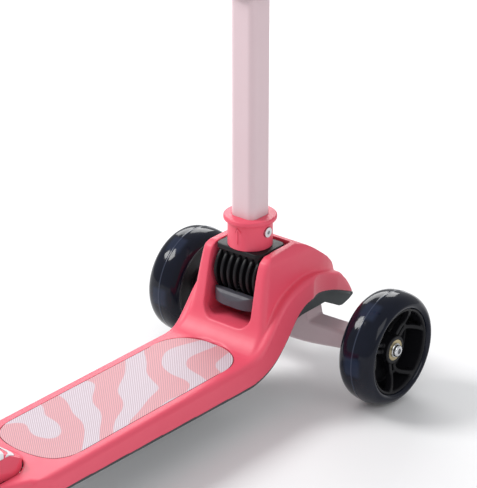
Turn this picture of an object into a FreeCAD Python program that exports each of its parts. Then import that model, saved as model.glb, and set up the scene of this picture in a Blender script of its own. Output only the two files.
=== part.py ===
import FreeCAD, Part
import math
import os

# Three-wheeled kick scooter, millimetres.  It is laid out from the point on the
# ground below the front axle: -Y is forward, +X is the rider's left, +Z is up.
# save() moves every piece so that the origin lies under the scooter's middle.

# ---- driving dimensions -------------------------------------------------
FRONT_AXLE_Y = -210.0        # where the front axle stands in the finished frame
WHEELBASE = 446.0
TRACK = 256.0                # centre to centre of the front wheels
FRONT_WHEEL_R = 60.0
FRONT_TYRE_W = 42.0
REAR_WHEEL_R = 40.0
REAR_TYRE_W = 34.0
WALL = 3.0                   # moulded shell thickness
DECK_TOP_Z = 69.0
DECK_HALF_W = 58.0
MAT_HALF_W = 45.3
MAT_T = 1.5
STEM_Y = 62.0                # fold axle and stem, behind the front axle
FOLD_Z = 132.0
DRUM_R = 26.5
DRUM_HALF_W = 28.5
SLOT_HALF_W = 30.5
PLATE_TOP_Z = 161.0
COLLAR_TOP_Z = 194.0
TUBE_W = 30.0                # lower tube, rounded square
TUBE_WALL = 1.6
CLAMP_Z = 424.0              # lower end of the height clamp
UPPER_TUBE_W = 26.0
BAR_Z = 680.0                # handlebar height at the lowest setting
BAR_HALF_W = 138.0
LEAN_TILT = 35.0             # kingpin from the vertical, its top forward
BEARING_OD = 22.0
BEARING_BORE = 8.1
BEARING_W = 7.0
FIT = 0.05                   # radial clearance of a running fit

X = FreeCAD.Vector(1, 0, 0)
Y = FreeCAD.Vector(0, 1, 0)
Z = FreeCAD.Vector(0, 0, 1)

os.makedirs("parts", exist_ok=True)


# ---- small building blocks ----------------------------------------------
def save(node, *solids):
    shape = Part.makeCompound(list(solids)) if len(solids) > 1 else solids[0].copy()
    shape.translate(FreeCAD.Vector(0, FRONT_AXLE_Y, 0))
    shape.exportStep("parts/" + node + ".step")


def box(x0, x1, y0, y1, z0, z1):
    corner = FreeCAD.Vector(x0, y0, z0)
    return Part.makeBox(x1 - x0, y1 - y0, z1 - z0, corner)


def rod(start, axis, radius, length):
    return Part.makeCylinder(radius, length, start, axis)


def tube(start, axis, outer, inner, length):
    return rod(start, axis, outer, length).cut(rod(start, axis, inner, length))


def hexagon(start, axis, across_flats, length):
    hex_face = Part.Face(Part.makePolygon([
        FreeCAD.Vector(across_flats / math.sqrt(3) * math.cos(math.radians(60 * k)),
                       across_flats / math.sqrt(3) * math.sin(math.radians(60 * k)), 0)
        for k in range(7)]))
    solid = hex_face.extrude(Z * length)
    solid.Placement = FreeCAD.Placement(start, FreeCAD.Rotation(Z, axis))
    return solid


def outline(segments, place):
    """Closed face from segments: two points make a line, more make a smooth curve."""
    edges = []
    for points in segments:
        spots = [place(a, b) for a, b in points]
        if len(spots) == 2:
            edges.append(Part.makeLine(spots[0], spots[1]))
        else:
            curve = Part.BSplineCurve()
            curve.interpolate(spots)
            edges.append(curve.toShape())
    return Part.Face(Part.Wire(edges))


def side_prism(segments, half_width):
    """Profile in Y and Z, extruded to both sides of the middle plane."""
    face = outline(segments, lambda y, z: FreeCAD.Vector(-half_width, y, z))
    return face.extrude(X * (2 * half_width))


def plan_prism(segments, z0, z1):
    face = outline(segments, lambda x, y: FreeCAD.Vector(x, y, z0))
    return face.extrude(Z * (z1 - z0))


def front_prism(segments, y0, y1):
    face = outline(segments, lambda x, z: FreeCAD.Vector(x, y0, z))
    return face.extrude(Y * (y1 - y0))


def mirrored(half):
    """Half outline on the left side, closed by its mirror image."""
    other = [[(-a, b) for a, b in reversed(points)] for points in reversed(half)]
    return half + other


def shift_curve(points, distance):
    """Points moved square to the curve, to the right of its direction."""
    moved = []
    last = len(points) - 1
    for k, (a, b) in enumerate(points):
        before = points[max(k - 1, 0)]
        after = points[min(k + 1, last)]
        run = after[0] - before[0]
        rise = after[1] - before[1]
        size = math.hypot(run, rise)
        moved.append((a + distance * rise / size, b - distance * run / size))
    return moved


def rounded_square(width, corner, z0, z1, y=STEM_Y):
    half = width / 2
    block = box(-half, half, y - half, y + half, z0, z1)
    upright = [e for e in block.Edges if abs(e.tangentAt(e.FirstParameter).z) > 0.9]
    return block.makeFillet(corner, upright)


def coil(start, axis, radius, wire_r, length, turns):
    """Round-wire coil spring, open at both ends."""
    pitch = length / turns
    helix = Part.makeHelix(pitch, length, radius)
    run = FreeCAD.Vector(0, 2 * math.pi * radius, pitch)
    section = Part.Wire(Part.makeCircle(wire_r, FreeCAD.Vector(radius, 0, 0), run))
    spring = Part.Wire(helix).makePipeShell([section], True, True)
    spring.Placement = FreeCAD.Placement(start + axis * wire_r, FreeCAD.Rotation(Z, axis))
    return spring


def on_axle(side, u):
    """Point on a front wheel's axle, u outboard of the wheel's middle."""
    return FreeCAD.Vector(side * (TRACK / 2 + u), 0, FRONT_WHEEL_R)


# ---- deck shell: moulded deck, fender band and front tower ---------------
SKIRT = [(-63.5, 70), (-56, 76), (-37, 86), (-17, 95), (4, 101.5), (25, 104), (45, 100),
         (58, 90), (67, 79), (77, 68), (90, 56.5), (107, 48), (130, 43.5)]
LEDGE = [(132, 69), (122, 70.5), (111, 76), (99, 88), (86, 103), (73, 114.5), (55, 122.5),
         (33, 126.5), (12, 124.5), (-14, 116), (-38, 105), (-54, 94), (-64, 81)]
RIDGE_REAR = [(138, 67), (123, 70), (110, 79), (102.5, 90), (98.5, 104), (95, 121),
              (91.5, 138), (88.5, 149)]
RIDGE_CROWN = [(88.5, 149), (84.5, 156.5), (77, 160.5)]
HOOD = [(36, 162), (24, 158), (7, 147), (-12, 132.5), (-24, 121.5), (-34, 110), (-43, 98)]
DECK_REAR_BOTTOM = (405, 50.3)
EAR_Y = WHEELBASE
EAR_Z = REAR_WHEEL_R
EAR_R = 15.0
SLOT_BOTTOM_Z = 86.0
POCKET_R = 48.2              # the pressed button swings inside it as the stem folds
POCKET_FRONT_Y = 24.5
HOLLOW_END_Y = 394.0         # the two rear arms are solid behind this


def deck_layer(inset):
    """Deck with the fender band that arches over the truck to the nose."""
    top = shift_curve(LEDGE, -inset)
    top[0] = (132, DECK_TOP_Z - inset)
    skirt = [(y, z - 12 * (inset > 0)) for y, z in SKIRT]
    skirt[0] = (top[-1][0] + 0.5, skirt[0][1])
    rear_low = (DECK_REAR_BOTTOM[0], DECK_REAR_BOTTOM[1] - 12 * (inset > 0))
    rear = HOLLOW_END_Y if inset > 0 else WHEELBASE + 14
    side = [top, [top[-1], skirt[0]], skirt, [skirt[-1], rear_low]]
    side.append([rear_low, (rear, rear_low[1] + 0.6)])
    side.append([(rear, rear_low[1] + 0.6), (rear, DECK_TOP_Z - inset)])
    side.append([(rear, DECK_TOP_Z - inset), top[0]])
    w = DECK_HALF_W - inset
    front = -66 + inset
    plan = [[(0, front), (25, front)],
            [(25, front), (41 - inset, front + 6), (50 - inset, front + 18), (w - 4, -15), (w, 30)],
            [(w, 30), (w, 395)],
            [(w, 395), (w - 3, 418), (w - 11, 436), (w - 18, 452)],
            [(w - 18, 452), (w - 18, 462)],
            [(w - 18, 462), (0, 462)]]
    return side_prism(side, DECK_HALF_W + 4).common(plan_prism(mirrored(plan), 0, 180))


def tower(inset):
    """Front tower that carries the fold joint, sloping down as a hood to the nose."""
    rear = shift_curve(RIDGE_REAR, -inset)
    crown = shift_curve(RIDGE_CROWN, -inset)
    crown[0] = rear[-1]
    hood = shift_curve(HOOD, -inset)
    low_front = (hood[-1][0], 94)
    side = [rear, crown, [crown[-1], hood[0]], hood, [hood[-1], low_front],
            [low_front, (20, 108)], [(20, 108), (60, 100)], [(60, 100), (102, 60)],
            [(102, 60), (rear[0][0], 56)], [(rear[0][0], 56), rear[0]]]
    w = [(53.5, 50), (52, 72), (49.3, 88), (47.2, 104), (45.6, 125), (43.8, 148)]
    w = [(a - inset, b) for a, b in w]
    cap = [w[-1], (42 - inset, 157 - inset), (36.5 - inset / 2, 163 - inset)]
    front = [[(0, 50), w[0]], w, cap, [cap[-1], (0, 163 - inset)]]
    nose = -48.5 + inset
    plan = [[(0, nose), (10, nose)],
            [(10, nose), (28 - inset / 2, nose + 7), (40 - inset, nose + 25), (46.5 - inset, 10)],
            [(46.5 - inset, 10), (60, 60)],
            [(60, 60), (60, 150)],
            [(60, 150), (0, 150)]]
    solid = side_prism(side, 60).common(front_prism(mirrored(front), -60, 150))
    return solid.common(plan_prism(mirrored(plan), 40, 180))


outer = deck_layer(0).fuse(tower(0)).removeSplitter()
inner = deck_layer(WALL + 0.5).fuse(tower(WALL))

pocket = box(-SLOT_HALF_W, SLOT_HALF_W, 34, 93, FOLD_Z, 175)
pocket = pocket.fuse(rod(FreeCAD.Vector(-SLOT_HALF_W, STEM_Y, FOLD_Z), X, POCKET_R,
                         2 * SLOT_HALF_W).common(box(-40, 40, POCKET_FRONT_Y, 110, 80, FOLD_Z)))
pocket = pocket.fuse(box(-SLOT_HALF_W, SLOT_HALF_W, STEM_Y, 93, SLOT_BOTTOM_Z, FOLD_Z))
LINER = 2.5
liner = box(-SLOT_HALF_W - LINER, SLOT_HALF_W + LINER, 34 - LINER, 97, FOLD_Z, 170)
liner = liner.fuse(rod(FreeCAD.Vector(-SLOT_HALF_W - LINER, STEM_Y, FOLD_Z), X,
                       POCKET_R + LINER, 2 * (SLOT_HALF_W + LINER)
                       ).common(box(-40, 40, POCKET_FRONT_Y - LINER, 110, 80, FOLD_Z)))
liner = liner.fuse(box(-SLOT_HALF_W - LINER, SLOT_HALF_W + LINER, STEM_Y, 99,
                       SLOT_BOTTOM_Z - LINER, FOLD_Z))
liner = liner.common(outer.fuse(box(-40, 40, POCKET_FRONT_Y, 80, 80, 110)))

RIM_R = 14.0                 # rounded bottom corners of the slot in the rear face
slot = box(-SLOT_HALF_W, SLOT_HALF_W, 90, 125, SLOT_BOTTOM_Z, 175)
slot_corners = [e for e in slot.Edges
                if abs(e.CenterOfMass.z - SLOT_BOTTOM_Z) < 0.1 and abs(e.CenterOfMass.x) > 30]
slot = slot.makeFillet(RIM_R, slot_corners)

MAT_PLAN = [[(0, 121), (20, 123), (36, 133), (44.2, 148), (MAT_HALF_W, 168)],
            [(MAT_HALF_W, 168), (MAT_HALF_W, 362)],
            [(MAT_HALF_W, 362), (43, 375), (35, 387), (20, 394), (0, 396.5)]]
MAT_GROOVE = 0.7
recess_plan = [[(x + MAT_GROOVE * (x > 0), y + (MAT_GROOVE if y > 250 else -MAT_GROOVE))
                for x, y in points] for points in MAT_PLAN]
recess = plan_prism(mirrored(recess_plan), DECK_TOP_Z - MAT_T, DECK_TOP_Z + 5)

PEDAL_HALF_W = 28.0
PEDAL_FRONT_Y = 404.3
PEDAL_ROUND_Y = PEDAL_FRONT_Y + PEDAL_HALF_W
PEDAL_GAP = 1.2              # seam between the pedal and the deck
OPENING_LOW_Z = 58.0         # the opening is wide above this, for the pedal

wheel_gap = box(-24, 24, 424, 470, 0, 90).fuse(rod(FreeCAD.Vector(0, 424, 0), Z, 24, 60))
wheel_gap = wheel_gap.fuse([
    rod(FreeCAD.Vector(0, PEDAL_ROUND_Y, OPENING_LOW_Z), Z, PEDAL_HALF_W + PEDAL_GAP, 40),
    box(-PEDAL_HALF_W - PEDAL_GAP, PEDAL_HALF_W + PEDAL_GAP, PEDAL_ROUND_Y, 470,
        OPENING_LOW_Z, 98)])
ears = []
for side in (-1, 1):
    x0 = 24 if side > 0 else -37
    ear = rod(FreeCAD.Vector(x0, EAR_Y, EAR_Z), X, EAR_R, 13)
    web = side_prism([[(428, 52), (428, 46)], [(428, 46), (434, 31)], [(434, 31), (458, 31)],
                      [(458, 31), (460, 52)], [(460, 52), (428, 52)]], 37)
    web = web.common(box(x0, x0 + 13, 420, 465, 20, 60))
    ears.append(ear.fuse(web))

axle_hole = rod(FreeCAD.Vector(-60, EAR_Y, EAR_Z), X, 4.0, 120)
fold_hole = rod(FreeCAD.Vector(-36, STEM_Y, FOLD_Z), X, 4.5, 72)
BRAKE_PIN = FreeCAD.Vector(0, 404, 61)
brake_hole = rod(BRAKE_PIN - X * 32, X, 2.5, 64)
hinge_room = box(-24, 24, 397, 430, 30, DECK_TOP_Z - WALL - 0.5)

COVER_SCREWS = [(x, y) for y in (150, 260, 370) for x in (-42, 42)]


def skirt_z(y):
    """Height of the deck's lower edge behind the arch."""
    return SKIRT[-1][1] + (y - SKIRT[-1][0]) * (DECK_REAR_BOTTOM[1] - SKIRT[-1][1]) / 275


bosses = []
for x, y in COVER_SCREWS:
    low = skirt_z(y) + 0.05
    bosses.append(tube(FreeCAD.Vector(x, y, low), Z, 4.5, 1.5, DECK_TOP_Z - WALL - low))

shell = outer.cut(inner).fuse([liner] + ears + bosses)
shell = shell.cut(pocket).cut(slot).cut(recess).cut(wheel_gap).cut(hinge_room)
shell = shell.cut(axle_hole).cut(fold_hole).cut(brake_hole).removeSplitter()
shell = max(shell.Solids, key=lambda s: s.Volume)

# ---- foot mat --------------------------------------------------------------
save("deck_mat", plan_prism(mirrored(MAT_PLAN), DECK_TOP_Z - MAT_T, DECK_TOP_Z))

# ---- underside cover with the skirt around the truck -----------------------
COVER_T = 3.0
PAN_HALF_W = 46.0
PAN_Z = 83.5
COVER_REAR_Y = 398.0
COVER_GAP = 0.15
cover_low = [(y, z - COVER_T) for y, z in SKIRT]
cover_side = [SKIRT, [SKIRT[-1], (COVER_REAR_Y, skirt_z(COVER_REAR_Y))],
              [(COVER_REAR_Y, skirt_z(COVER_REAR_Y)), (COVER_REAR_Y, skirt_z(COVER_REAR_Y) - COVER_T)],
              [(COVER_REAR_Y, skirt_z(COVER_REAR_Y) - COVER_T), cover_low[-1]],
              list(reversed(cover_low)), [cover_low[0], SKIRT[0]]]
w = DECK_HALF_W - 1.8
cover_plan = [[(0, -64), (21, -64)],
              [(21, -64), (38.5, -58.5), (48, -46), (w - 4, -15), (w, 30)],
              [(w, 30), (w, COVER_REAR_Y)],
              [(w, COVER_REAR_Y), (0, COVER_REAR_Y)]]
plate = side_prism(cover_side, DECK_HALF_W).common(plan_prism(mirrored(cover_plan), 20, 120))
plate.translate(Z * -COVER_GAP)
plate = plate.cut(box(-PAN_HALF_W + 3, PAN_HALF_W - 3, -52, 98, 52, 120))


def pan(inset, half_width):
    low = [(-54 + inset, 75), (-47, 71.5), (-36, 69), (-30, 70), (-19, 76), (-5, PAN_Z), (33, PAN_Z),
           (50, 81), (62, 72), (70, 66), (84, 56.5), (99 - inset, 47)]
    low = [(y, z + inset) for y, z in low]
    high = [(99 - inset, 52), (84, 61), (74, 71.5), (64, 82), (54, 93.5), (42, 101), (25, 103.5),
            (4, 101), (-17, 94.5), (-37, 85.5), (-54 + inset, 77.5 + inset)]
    side = [[low[k], low[k + 1]] for k in range(len(low) - 1)]
    side = side + [[low[-1], high[0]]] + [[high[k], high[k + 1]] for k in range(len(high) - 1)]
    side.append([high[-1], low[0]])
    return side_prism(side, half_width)


pan_shell = pan(0, PAN_HALF_W)
pan_space = pan(COVER_T, PAN_HALF_W - COVER_T)
pan_space = pan_space.fuse(pan_space.translated(Z * 8)).fuse(pan_space.translated(Z * 14))
cover = plate.fuse(pan_shell.cut(pan_space))
cover = cover.cut(box(-41.5, 41.5, -30, 30, 60, PAN_Z + 6))
for x, y in COVER_SCREWS:
    cover = cover.cut(rod(FreeCAD.Vector(x, y, 20), Z, 2.0, 60))
cover = max(cover.cut(shell).removeSplitter().Solids, key=lambda s: s.Volume)
save("underside_cover", cover)

screws = []
for x, y in COVER_SCREWS:
    low = skirt_z(y) - COVER_T - COVER_GAP - 0.1
    head = rod(FreeCAD.Vector(x, y, low - 2), Z, 3.6, 2)
    screws.append(head.fuse(rod(FreeCAD.Vector(x, y, low), Z, 1.5, 16)))
save("cover_screws", *screws)

# ---- fold chassis inside the tower ----------------------------------------
CHEEK_IN = 33.8
CHEEK_T = 3.2
CHASSIS_HALF_W = CHEEK_IN + CHEEK_T
tilt = math.radians(LEAN_TILT)
LEAN_AXIS = FreeCAD.Vector(0, -math.sin(tilt), math.cos(tilt))


def on_kingpin(s):
    """Point on the kingpin axis, s above the front axle."""
    return FreeCAD.Vector(0, 0, FRONT_WHEEL_R) + LEAN_AXIS * s


SEAT_S = 32.0
SEAT_T = 7.0
cheek_profile = [(50, 143), (74, 143), (80, 118), (88, 100), (104, 78), (116, 65), (116, 60),
                 (98, 60), (86, 68), (76, 78), (64, 88), (48, 94), (28, 100), (-1, 100.5),
                 (-16, 90), (-31, 79.5), (-35, 85), (-22, 102), (4, 116), (30, 130), (50, 143)]
cheeks = side_prism([[cheek_profile[k], cheek_profile[k + 1]]
                     for k in range(len(cheek_profile) - 1)], CHASSIS_HALF_W)
cheeks = cheeks.cut(box(-CHEEK_IN, CHEEK_IN, -60, 130, 40, 160))
seat = Part.makeBox(2 * CHASSIS_HALF_W, 35, SEAT_T, FreeCAD.Vector(-CHASSIS_HALF_W, -16, 0))
seat.Placement = FreeCAD.Placement(on_kingpin(SEAT_S), FreeCAD.Rotation(Z, LEAN_AXIS))
foot = box(-CHASSIS_HALF_W, CHASSIS_HALF_W, 100, 116, 61, DECK_TOP_Z - WALL - 0.5)
chassis = cheeks.fuse([seat, foot])
chassis = chassis.cut(rod(FreeCAD.Vector(-50, STEM_Y, FOLD_Z), X, 4.0, 100))
chassis = chassis.cut(rod(on_kingpin(20), LEAN_AXIS, 5.0, 40))
FOOT_SCREWS = [(x, 108) for x in (-26, -9, 9, 26)]
foot_screws = []
for x, y in FOOT_SCREWS:
    shank = rod(FreeCAD.Vector(x, y, 61), Z, 2.4, 6.2)
    chassis = chassis.cut(shank)
    foot_screws.append(rod(FreeCAD.Vector(x, y, 57.5), Z, 4.3, 3.5).fuse(shank))
save("fold_chassis", chassis.removeSplitter())
for screw in foot_screws:
    shell = shell.cut(screw)
save("deck_shell", shell)
save("chassis_screws", *foot_screws)

# ---- fold axle --------------------------------------------------------------
HEAD_T = 3.2
shank = rod(FreeCAD.Vector(-CHASSIS_HALF_W, STEM_Y, FOLD_Z), X, 4.0, 2 * CHASSIS_HALF_W + HEAD_T)
head = rod(FreeCAD.Vector(-CHASSIS_HALF_W - HEAD_T, STEM_Y, FOLD_Z), X, 6.5, HEAD_T)
save("fold_axle", shank.fuse(head))
nut = hexagon(FreeCAD.Vector(CHASSIS_HALF_W, STEM_Y, FOLD_Z), X, 11.0, HEAD_T)
save("fold_axle_nut", nut.cut(shank))

# ---- kingpin and its bushings -----------------------------------------------
BOSS_LOW_S = -16.0
BOSS_TOP_S = 22.0
BUSH_T = 6.0
king_head = hexagon(on_kingpin(BOSS_LOW_S - BUSH_T - 8), LEAN_AXIS, 16.0, 6.4)
king_washer = rod(on_kingpin(BOSS_LOW_S - BUSH_T - 1.6), LEAN_AXIS, 11.5, 1.5)
king_shank = rod(on_kingpin(BOSS_LOW_S - BUSH_T - 8), LEAN_AXIS, 5.0, 84)
save("kingpin", king_shank.fuse([king_head, king_washer]).removeSplitter())
king_nut = hexagon(on_kingpin(SEAT_S + SEAT_T), LEAN_AXIS, 16.0, 8)
save("kingpin_nut", king_nut.cut(king_shank))
save("lower_bushing", tube(on_kingpin(BOSS_LOW_S - BUSH_T - 0.1), LEAN_AXIS, 11.5, 5.0, BUSH_T))
save("upper_bushing", tube(on_kingpin(BOSS_TOP_S + 0.1), LEAN_AXIS, 13.0, 5.0,
                           SEAT_S - BOSS_TOP_S - 0.1))

# ---- truck beam ---------------------------------------------------------------
BEAM_END = 100.0
half_beam = [[(0, 37.5), (22, 38.5)], [(22, 38.5), (60, 43), (82, 46.5), (BEAM_END, 48.5)],
             [(BEAM_END, 48.5), (BEAM_END, 68)], [(BEAM_END, 68), (60, 66.5)],
             [(60, 66.5), (38, 66)], [(38, 66), (35, 79)], [(35, 79), (16, 84)], [(16, 84), (0, 84)]]
beam = front_prism(mirrored(half_beam), -13, 13)
long_edges = [e for e in beam.Edges
              if abs(abs(e.CenterOfMass.y) - 13) < 0.1 and abs(e.CenterOfMass.x) > 40
              and e.Length > 15]
beam = beam.makeFillet(4.0, long_edges)
beam = beam.fuse(rod(on_kingpin(BOSS_LOW_S), LEAN_AXIS, 16.0, BOSS_TOP_S - BOSS_LOW_S))
above = Part.makeBox(100, 80, 40, FreeCAD.Vector(-50, -40, 0))
above.Placement = FreeCAD.Placement(on_kingpin(BOSS_TOP_S), FreeCAD.Rotation(Z, LEAN_AXIS))
beam = beam.cut(above.common(box(-40, 40, -60, 60, 66, 120)))
beam = beam.cut(rod(on_kingpin(BOSS_LOW_S - 40), LEAN_AXIS, 12.6, 40))
beam = beam.cut(rod(on_kingpin(-60), LEAN_AXIS, 5.0 + FIT, 120))
AXLE_IN = 72.0
for side in (-1, 1):
    beam = beam.cut(rod(FreeCAD.Vector(side * AXLE_IN, 0, FRONT_WHEEL_R), X * side, 4.0, 40))
save("truck_beam", max(beam.removeSplitter().Solids, key=lambda s: s.Volume))

# ---- front wheels ----------------------------------------------------------------
HUB_R = 46.0
HUB_HALF_W = 18.0
SPOKE_ANGLES = (20, 140, 260)
BEARING_IN = 5.0             # inner faces of the two bearings from the wheel's middle
HUB_CORE_HALF = BEARING_IN + BEARING_W
WEB_IN = -9.0                # the disc that closes the hub behind its arms
WEB_T = 3.0


def revolve_u(points, side):
    """Solid of revolution about a front axle from (outboard, radius) points."""
    wire = Part.makePolygon([FreeCAD.Vector(u, 0, r) for u, r in points + points[:1]])
    solid = Part.Face(wire).revolve(FreeCAD.Vector(0, 0, 0), X, 360)
    solid.Placement = FreeCAD.Placement(on_axle(side, 0), FreeCAD.Rotation(Z, 0 if side > 0 else 180))
    return solid


def tyre_profile(radius, half_width, seat, shoulder):
    """Round-shouldered tread with a slight middle ridge, on a flat seat."""
    points = [(-half_width, seat)]
    for k in range(9):
        angle = math.radians(-90 + 20 * k + 10)
        across = half_width * math.sin(angle)
        points.append((across, radius - shoulder * (1 - abs(math.cos(angle)) ** 0.8)))
    points.append((half_width, seat))
    return points


LIGHT_COUNT = 6
for side, name in ((1, "left"), (-1, "right")):
    lights = []
    for k in range(LIGHT_COUNT):
        angle = 360 / LIGHT_COUNT * k + 30
        block = Part.makeBox(16, 8, 3.5, FreeCAD.Vector(-8, -4, HUB_R + 1.2))
        block.rotate(FreeCAD.Vector(0, 0, 0), X, angle)
        block.translate(on_axle(side, 0))
        lights.append(block)
    save("front_" + name + "_lights", *lights)

    tyre = revolve_u(tyre_profile(FRONT_WHEEL_R, FRONT_TYRE_W / 2, HUB_R, 11.0), side)
    for block in lights:
        tyre = tyre.cut(block)
    save("front_" + name + "_tyre", tyre)

    rim = revolve_u([(-HUB_HALF_W, HUB_R), (-HUB_HALF_W, 42.5), (HUB_HALF_W, 42.5),
                     (HUB_HALF_W, HUB_R)], side)
    core = revolve_u([(-HUB_CORE_HALF, 15), (-HUB_CORE_HALF, 6), (HUB_CORE_HALF, 6),
                      (HUB_CORE_HALF, 15)], side)
    web_disc = revolve_u([(WEB_IN, 43), (WEB_IN, 14), (WEB_IN + WEB_T, 14), (WEB_IN + WEB_T, 43)], side)
    pieces = [core, web_disc]
    for angle in SPOKE_ANGLES:
        stem = box(-6, 6, 12, 30, -5.5, 5.5)
        left = box(-6, 6, 0, 21, -2.5, 2.5)
        right = left.copy()
        left.rotate(FreeCAD.Vector(0, 0, 0), X, 62)
        right.rotate(FreeCAD.Vector(0, 0, 0), X, -62)
        left.translate(FreeCAD.Vector(0, 27.5, 1.5))
        right.translate(FreeCAD.Vector(0, 27.5, -1.5))
        arm = stem.fuse([left, right]).cut(box(-7, 7, 18, 27, -1.6, 1.6))
        arm = arm.common(rod(FreeCAD.Vector(-20, 0, 0), X, 44, 40))
        arm.rotate(FreeCAD.Vector(0, 0, 0), X, angle)
        arm.translate(on_axle(side, 2 * side))
        pieces.append(arm)
    hub = rim.fuse(pieces)
    for u in (-HUB_CORE_HALF, BEARING_IN):
        hub = hub.cut(rod(on_axle(side, u), X * side, BEARING_OD / 2, BEARING_W))
    save("front_" + name + "_hub", hub.removeSplitter())

    save("front_" + name + "_bearings",
         *[tube(on_axle(side, u), X * side, BEARING_OD / 2, BEARING_BORE / 2, BEARING_W)
           for u in (-HUB_CORE_HALF, BEARING_IN)])
    save("front_" + name + "_spacers",
         tube(on_axle(side, -BEARING_IN + 0.1), X * side, 5.6, 4.0, 2 * BEARING_IN - 0.2),
         tube(FreeCAD.Vector(side * BEAM_END, 0, FRONT_WHEEL_R), X * side, 6.0, 4.0,
              TRACK / 2 - HUB_CORE_HALF - BEAM_END - 0.1))
    bolt = rod(FreeCAD.Vector(side * AXLE_IN, 0, FRONT_WHEEL_R), X * side, 4.0,
               TRACK / 2 + HUB_CORE_HALF + 3 - AXLE_IN)
    washer = rod(on_axle(side, HUB_CORE_HALF + 0.1), X * side, 7.5, 1.2)
    head = rod(on_axle(side, HUB_CORE_HALF + 1.3), X * side, 6.5, 3.6)
    socket = hexagon(on_axle(side, HUB_CORE_HALF + 2.6), X * side, 5.0, 4)
    save("front_" + name + "_axle_bolt", bolt.fuse([washer, head]).cut(socket).removeSplitter())

# ---- rear wheel ----------------------------------------------------------------------
REAR = FreeCAD.Vector(0, WHEELBASE, REAR_WHEEL_R)
REAR_HUB_R = 28.0
REAR_IN = 7.0


def revolve_rear(points):
    wire = Part.makePolygon([FreeCAD.Vector(u, 0, r) for u, r in points + points[:1]])
    solid = Part.Face(wire).revolve(FreeCAD.Vector(0, 0, 0), X, 360)
    solid.translate(REAR)
    return solid


save("rear_tyre", revolve_rear(tyre_profile(REAR_WHEEL_R, REAR_TYRE_W / 2, REAR_HUB_R, 7.0)))
rear_core = REAR_IN + BEARING_W
rear_hub = revolve_rear([(-16, REAR_HUB_R), (-16, 24.5), (-6, 24.5), (-6, 15), (-rear_core, 15),
                         (-rear_core, 6), (rear_core, 6), (rear_core, 15), (6, 15), (6, 24.5),
                         (16, 24.5), (16, REAR_HUB_R)])
for u in (-rear_core, REAR_IN):
    rear_hub = rear_hub.cut(rod(REAR + X * u, X, BEARING_OD / 2, BEARING_W))
for k in range(5):
    hole = rod(REAR + FreeCAD.Vector(-20, 19.7 * math.cos(math.radians(72 * k)),
                                     19.7 * math.sin(math.radians(72 * k))), X, 3.6, 40)
    rear_hub = rear_hub.cut(hole)
save("rear_hub", rear_hub)
save("rear_bearings", *[tube(REAR + X * u, X, BEARING_OD / 2, BEARING_BORE / 2, BEARING_W)
                        for u in (-rear_core, REAR_IN)])
save("rear_spacers",
     tube(REAR - X * (REAR_IN - 0.1), X, 5.6, 4.0, 2 * REAR_IN - 0.2),
     tube(REAR - X * 24, X, 6.0, 4.0, 24 - rear_core - 0.1),
     tube(REAR + X * (rear_core + 0.1), X, 6.0, 4.0, 24 - rear_core - 0.1))
EAR_OUT = 37.0
rear_shank = rod(REAR - X * EAR_OUT, X, 4.0, 2 * EAR_OUT + 6)
save("rear_axle", rear_shank.fuse(rod(REAR - X * (EAR_OUT + 5), X, 6.5, 5))
     .cut(hexagon(REAR - X * (EAR_OUT + 6), X, 5.0, 3)))
save("rear_axle_nut", hexagon(REAR + X * EAR_OUT, X, 13.0, 5.5).cut(rear_shank))

# ---- brake pedal over the rear wheel -----------------------------------------------
BRAKE_GAP = 5.5
GUARD_R = REAR_WHEEL_R + BRAKE_GAP
GUARD_T = 3.0
PEDAL_LOW_Z = 66.5
TYRE_ROOM = REAR_TYRE_W / 2 + 1.8
toe = side_prism([[(404.3, PEDAL_LOW_Z), (446, PEDAL_LOW_Z)],
                  [(446, PEDAL_LOW_Z), (446, 88.5)],
                  [(446, 88.5), (437, 87.4), (428, 84.4), (420, 80.3), (413, 76.3), (408, 73.2),
                   (404.3, 69.9)],
                  [(404.3, 69.9), (404.3, PEDAL_LOW_Z)]], PEDAL_HALF_W)
dome = toe.fuse(rod(REAR - X * 30, X, GUARD_R + GUARD_T, 60).common(
    box(-30, 30, 440, 490, PEDAL_LOW_Z, 100)))
crown = [[(0, 60), (PEDAL_HALF_W + 0.2, 60)], [(PEDAL_HALF_W + 0.2, 60), (PEDAL_HALF_W + 0.2, 69.8)],
         [(PEDAL_HALF_W + 0.2, 69.8), (26.5, 76), (21, 83), (11, 87.6), (0, 88.6)]]
dome = dome.common(front_prism(mirrored(crown), 400, 500))
rear_part = plan_prism(mirrored([[(0, PEDAL_ROUND_Y), (PEDAL_HALF_W, PEDAL_ROUND_Y)],
                                 [(PEDAL_HALF_W, PEDAL_ROUND_Y), (22, 488)],
                                 [(22, 488), (0, 488)]]), 60, 100)
dome = dome.common(rod(FreeCAD.Vector(0, PEDAL_ROUND_Y, 60), Z, PEDAL_HALF_W, 40).fuse(rear_part))
lugs = []
LUG = [(404, 56.6), (416, 61), (421, 67.5), (412, 67.5), (409, 65.1), (404, 64.8), (404, 56.6)]
for x0 in (-16, 12):
    lug = rod(FreeCAD.Vector(x0, BRAKE_PIN.y, BRAKE_PIN.z), X, 4.4, 4)
    web = side_prism([[LUG[k], LUG[k + 1]] for k in range(len(LUG) - 1)], 16)
    lugs.append(lug.fuse(web.common(box(x0, x0 + 4, 400, 425, 50, 70))))
pedal = dome.cut(rod(REAR - X * TYRE_ROOM, X, GUARD_R, 2 * TYRE_ROOM)).fuse(lugs)
pedal = pedal.cut(rod(BRAKE_PIN - X * 30, X, 2.5 + FIT, 60)).removeSplitter()
PAD_HALF_W = 10.5
pad_seat = rod(REAR - X * PAD_HALF_W, X, GUARD_R + 0.8, 2 * PAD_HALF_W)
pad_seat = pad_seat.common(box(-PAD_HALF_W, PAD_HALF_W, 441, 455, 70, 100))
pedal = pedal.cut(pad_seat)
CRESCENT_R = 26.0
CRESCENT_W = 5.4
CRESCENT_PITCH = 12.5
INLAY = 0.7                  # the crescents stand this proud and sink as deep
crescents = []
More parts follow.
